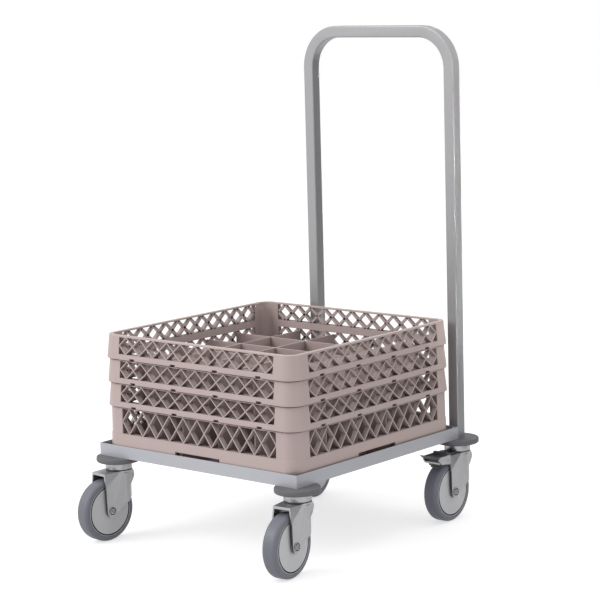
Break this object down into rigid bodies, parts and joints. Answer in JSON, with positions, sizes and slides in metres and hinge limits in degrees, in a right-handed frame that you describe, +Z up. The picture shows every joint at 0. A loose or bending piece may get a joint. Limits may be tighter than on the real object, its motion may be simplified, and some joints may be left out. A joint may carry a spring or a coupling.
{
  "type": "dish rack dolly",
  "caption": "Low tray dolly for dishwasher racks on swivel castors with bumper discs and rear brakes, a U-shaped push handle behind it and a stack of compartment racks on it.",
  "frame": {"origin": "middle of the whole dolly's footprint at rest, on the floor", "axes": "+Z up; X runs across the push handle, with the handle's end of the pan flush at +X; -Y is the front and +Y is the handle side"},
  "size_m": [0.562, 0.66, 1.009],
  "materials": {
    "stainless_steel": "brushed",
    "zinc_plated_steel": "satin",
    "bearing_steel": "polished",
    "bumper_rubber": "matt",
    "tyre_rubber": "satin",
    "wheel_plastic": "satin",
    "pedal_plastic": "matt",
    "rack_plastic": "satin"
  },
  "bodies": {
    "frame": {"tray_pan": "stainless_steel", "tray_stiffeners": "stainless_steel", "handle_tube": "stainless_steel", "tube_inserts": "zinc_plated_steel", "handle_screws": "zinc_plated_steel", "front_studs": "zinc_plated_steel", "rear_studs": "zinc_plated_steel", "king_nuts": "zinc_plated_steel", "bumper_discs": "bumper_rubber", "swivel_heads": "zinc_plated_steel", "ball_races": "bearing_steel", "dust_seals": "bumper_rubber"},
    "swivel_front_right": {"fork_front_right": "zinc_plated_steel", "axle_bolt_front_right": "zinc_plated_steel", "axle_nut_front_right": "zinc_plated_steel", "axle_sleeve_front_right": "zinc_plated_steel"},
    "wheel_front_right": {"hub_bearing_front_right": "bearing_steel", "wheel_core_front_right": "wheel_plastic", "tyre_front_right": "tyre_rubber"},
    "swivel_front_left": {"fork_front_left": "zinc_plated_steel", "axle_bolt_front_left": "zinc_plated_steel", "axle_nut_front_left": "zinc_plated_steel", "axle_sleeve_front_left": "zinc_plated_steel"},
    "wheel_front_left": {"hub_bearing_front_left": "bearing_steel", "wheel_core_front_left": "wheel_plastic", "tyre_front_left": "tyre_rubber"},
    "swivel_rear_right": {"fork_rear_right": "zinc_plated_steel", "axle_bolt_rear_right": "zinc_plated_steel", "axle_nut_rear_right": "zinc_plated_steel", "axle_sleeve_rear_right": "zinc_plated_steel", "brake_bracket_rear_right": "zinc_plated_steel", "brake_pin_rear_right": "zinc_plated_steel"},
    "wheel_rear_right": {"hub_bearing_rear_right": "bearing_steel", "wheel_core_rear_right": "wheel_plastic", "tyre_rear_right": "tyre_rubber"},
    "pedal_rear_right": {"brake_pedal_rear_right": "pedal_plastic", "brake_shoe_rear_right": "zinc_plated_steel"},
    "swivel_rear_left": {"fork_rear_left": "zinc_plated_steel", "axle_bolt_rear_left": "zinc_plated_steel", "axle_nut_rear_left": "zinc_plated_steel", "axle_sleeve_rear_left": "zinc_plated_steel", "brake_bracket_rear_left": "zinc_plated_steel", "brake_pin_rear_left": "zinc_plated_steel"},
    "wheel_rear_left": {"hub_bearing_rear_left": "bearing_steel", "wheel_core_rear_left": "wheel_plastic", "tyre_rear_left": "tyre_rubber"},
    "pedal_rear_left": {"brake_pedal_rear_left": "pedal_plastic", "brake_shoe_rear_left": "zinc_plated_steel"},
    "rack_stack": {"base_rack": "rack_plastic", "dividers_long": "rack_plastic", "dividers_cross": "rack_plastic", "extender_1": "rack_plastic", "extender_2": "rack_plastic", "extender_3": "rack_plastic"}
  },
  "joints": [
    {"name": "swivel_front_right", "type": "hinge", "parent": "frame", "child": "swivel_front_right", "pos_m": [0.236, -0.22699, 0.1396], "axis": [0, 0, 1], "continuous": true},
    {"name": "roll_front_right", "type": "hinge", "parent": "swivel_front_right", "child": "wheel_front_right", "pos_m": [0.24018, -0.26677, 0.0625], "axis": [0.9945, 0.1045, 0], "continuous": true},
    {"name": "swivel_front_left", "type": "hinge", "parent": "frame", "child": "swivel_front_left", "pos_m": [-0.236, -0.22699, 0.1396], "axis": [0, 0, 1], "continuous": true},
    {"name": "roll_front_left", "type": "hinge", "parent": "swivel_front_left", "child": "wheel_front_left", "pos_m": [-0.23949, -0.26684, 0.0625], "axis": [0.9962, -0.0872, 0], "continuous": true},
    {"name": "swivel_rear_right", "type": "hinge", "parent": "frame", "child": "swivel_rear_right", "pos_m": [0.236, 0.28501, 0.1396], "axis": [0, 0, 1], "continuous": true},
    {"name": "roll_rear_right", "type": "hinge", "parent": "swivel_rear_right", "child": "wheel_rear_right", "pos_m": [0.2367, 0.24501, 0.0625], "axis": [0.9998, 0.0175, 0], "continuous": true},
    {"name": "brake_rear_right", "type": "hinge", "parent": "swivel_rear_right", "child": "pedal_rear_right", "pos_m": [0.23706, 0.22402, 0.131], "axis": [0.9998, 0.0175, 0], "range_deg": [0, 6]},
    {"name": "swivel_rear_left", "type": "hinge", "parent": "frame", "child": "swivel_rear_left", "pos_m": [-0.1285, 0.28501, 0.1396], "axis": [0, 0, 1], "continuous": true},
    {"name": "roll_rear_left", "type": "hinge", "parent": "swivel_rear_left", "child": "wheel_rear_left", "pos_m": [-0.12155, 0.24562, 0.0625], "axis": [0.9848, 0.1736, 0], "continuous": true},
    {"name": "brake_rear_left", "type": "hinge", "parent": "swivel_rear_left", "child": "pedal_rear_left", "pos_m": [-0.11791, 0.22493, 0.131], "axis": [0.9848, 0.1736, 0], "range_deg": [0, 6]},
    {"name": "rack_lift", "type": "slide", "parent": "frame", "child": "rack_stack", "axis": [0, 0, 1], "range_m": [0, 0.3]}
  ]
}
